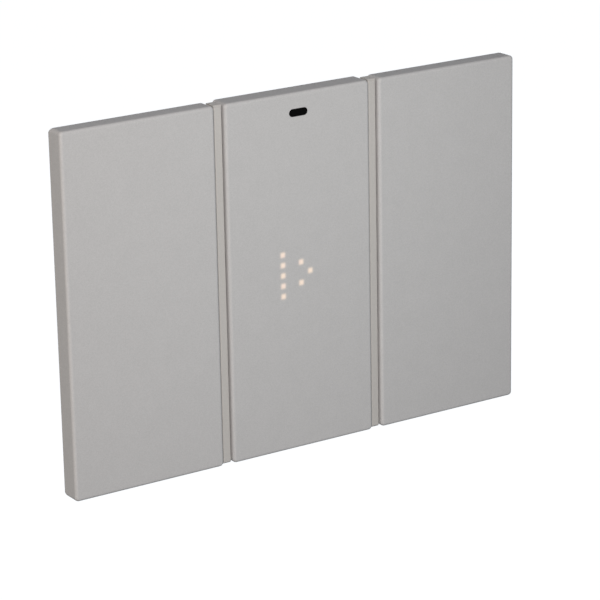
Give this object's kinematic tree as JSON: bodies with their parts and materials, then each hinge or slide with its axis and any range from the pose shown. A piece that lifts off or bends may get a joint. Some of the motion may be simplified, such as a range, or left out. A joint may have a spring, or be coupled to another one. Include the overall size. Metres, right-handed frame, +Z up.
{
  "type": "touch switch",
  "caption": "Flush wall touch switch with upright satin grey covers parted by ribbed grooves, a black sensor window, a lit dot symbol and a screw-terminal unit behind.",
  "frame": {"origin": "centre of the plate on the wall plane", "axes": "+X to the right seen from the room, +Y into the wall, +Z up"},
  "size_m": [0.1232, 0.0324, 0.086],
  "materials": {
    "cover_paint": "satin silver-grey paint on moulded plastic",
    "base_plastic": "moulded warm grey plastic",
    "window_black": "black window that lets infra-red through",
    "diffuser_white": "milky film",
    "mask_black": "light-tight moulding",
    "led_warm": "warm white light chip",
    "copper": "bare copper film",
    "board_green": "glass-fibre board with solder mask",
    "chip_black": "moulded black plastic",
    "ribbon_amber": "amber flexible film",
    "support_plastic": "dark glass-filled plastic",
    "housing_plastic": "light grey flame-retardant plastic",
    "screw_steel": "zinc-plated steel",
    "pin_gold": "plated contact pins",
    "terminal_plastic": "dark grey moulding",
    "clamp_brass": "nickel-free brass",
    "relay_case": "sealed relay case",
    "transformer_core": "ferrite core with winding tape",
    "capacitor_film": "grey potted box",
    "capacitor_sleeve": "dark shrink sleeve",
    "varistor_coat": "dipped coating"
  },
  "bodies": {
    "root": {"left_cover": "cover_paint", "centre_cover": "cover_paint", "right_cover": "cover_paint", "sensor_window": "window_black", "diffuser_sheet": "diffuser_white", "light_mask": "mask_black", "matrix_leds": "led_warm", "proximity_sensor": "chip_black", "left_electrode": "copper", "centre_electrode": "copper", "right_electrode": "copper", "left_touch_board": "board_green", "centre_touch_board": "board_green", "right_touch_board": "board_green", "touch_controller": "chip_black", "left_link_ribbon": "ribbon_amber", "right_link_ribbon": "ribbon_amber", "base_frame": "base_plastic", "support_frame": "support_plastic", "rear_housing": "housing_plastic", "housing_screws": "screw_steel", "power_board": "board_green", "pin_header": "chip_black", "header_pins": "pin_gold", "board_socket": "chip_black", "terminal_block": "terminal_plastic", "terminal_clamps": "clamp_brass", "terminal_screws": "screw_steel", "left_relay": "relay_case", "centre_relay": "relay_case", "right_relay": "relay_case", "supply_transformer": "transformer_core", "filter_capacitor": "capacitor_film", "smoothing_capacitor": "capacitor_sleeve", "surge_varistor": "varistor_coat", "fuse": "chip_black"}
  },
  "joints": []
}
